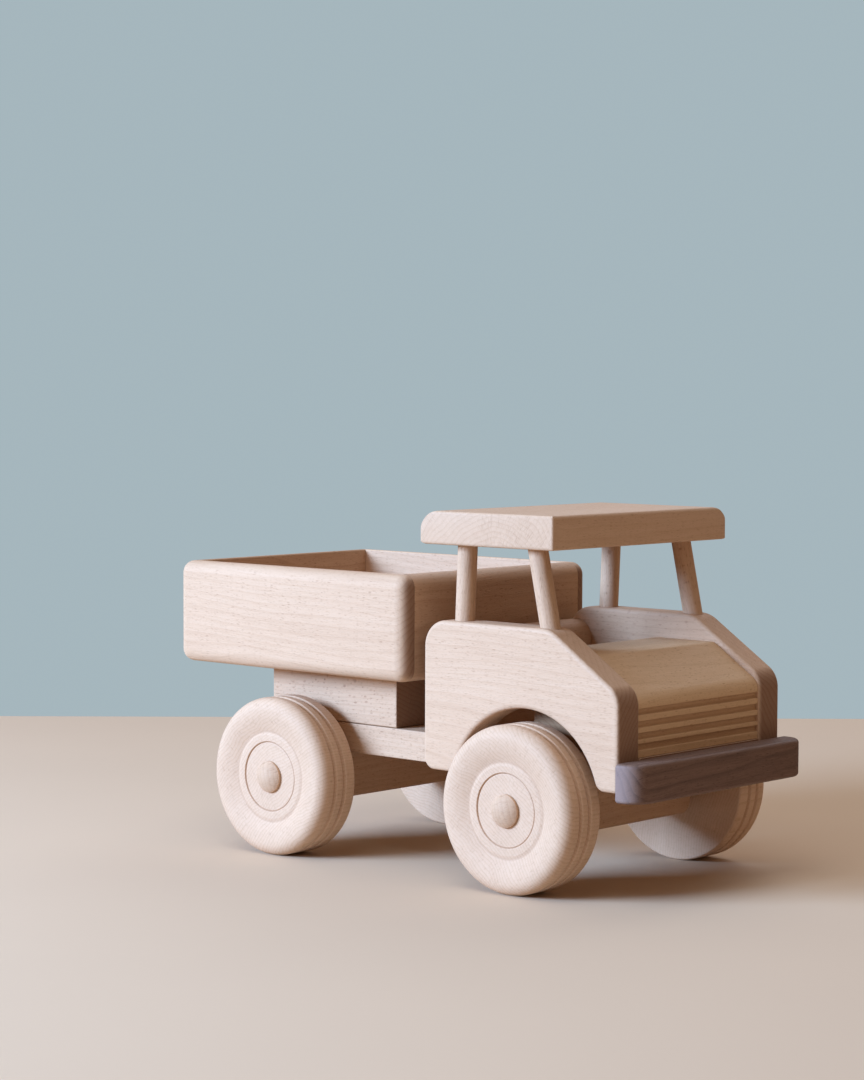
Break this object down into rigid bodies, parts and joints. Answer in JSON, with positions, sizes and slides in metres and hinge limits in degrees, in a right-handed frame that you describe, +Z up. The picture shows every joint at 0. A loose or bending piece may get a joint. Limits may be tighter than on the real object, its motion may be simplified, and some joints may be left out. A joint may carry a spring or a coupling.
{
  "type": "toy dump truck",
  "caption": "Wooden toy dump truck: open cab under a post-held roof, box bed that tips back on a hinge pin, wheels that turn on mushroom-headed pegs, dark wood bumper.",
  "frame": {"origin": "on the ground, under the middle of the truck's overall length, on its middle plane", "axes": "+X to the hood, +Y to the truck's left, +Z up"},
  "size_m": [0.3014, 0.161, 0.178],
  "materials": {
    "beech": "oiled beech board, satin, fine dark flecks along the grain",
    "beech_turned": "oiled turned beech, satin",
    "beech_dowel": "oiled beech dowel, satin",
    "walnut": "oiled walnut, satin, straight dark grain"
  },
  "bodies": {
    "truck": {"chassis_board": "beech", "front_axle_block": "beech", "rear_axle_block": "beech", "right_cheek": "beech", "left_cheek": "beech", "hood_block": "beech", "seat_back": "beech", "roof": "beech", "front_right_post": "beech_dowel", "front_left_post": "beech_dowel", "rear_right_post": "beech_dowel", "rear_left_post": "beech_dowel", "bumper": "walnut", "bumper_right_dowel": "beech_dowel", "bumper_left_dowel": "beech_dowel", "front_right_axle_peg": "beech_dowel", "front_left_axle_peg": "beech_dowel", "rear_right_axle_peg": "beech_dowel", "rear_left_axle_peg": "beech_dowel", "hinge_pin": "beech_dowel"},
    "dump_bed": {"bed_right_side": "beech", "bed_left_side": "beech", "bed_front_wall": "beech", "bed_rear_wall": "beech", "bed_floor": "beech", "tipper_block": "beech", "hinge_lug": "beech"},
    "front_right_wheel": {"front_right_wheel": "beech_turned"},
    "front_left_wheel": {"front_left_wheel": "beech_turned"},
    "rear_right_wheel": {"rear_right_wheel": "beech_turned"},
    "rear_left_wheel": {"rear_left_wheel": "beech_turned"}
  },
  "joints": [
    {"name": "bed_tip", "type": "hinge", "parent": "truck", "child": "dump_bed", "pos_m": [-0.08828, 0, 0.05962], "axis": [0, -1, 0], "range_deg": [0, 50]},
    {"name": "front_right_roll", "type": "hinge", "parent": "truck", "child": "front_right_wheel", "pos_m": [0.08, -0.055, 0.04], "axis": [0, 1, 0], "continuous": true},
    {"name": "front_left_roll", "type": "hinge", "parent": "truck", "child": "front_left_wheel", "pos_m": [0.08, 0.055, 0.04], "axis": [0, 1, 0], "continuous": true},
    {"name": "rear_right_roll", "type": "hinge", "parent": "truck", "child": "rear_right_wheel", "pos_m": [-0.077, -0.055, 0.04], "axis": [0, 1, 0], "continuous": true},
    {"name": "rear_left_roll", "type": "hinge", "parent": "truck", "child": "rear_left_wheel", "pos_m": [-0.077, 0.055, 0.04], "axis": [0, 1, 0], "continuous": true}
  ]
}
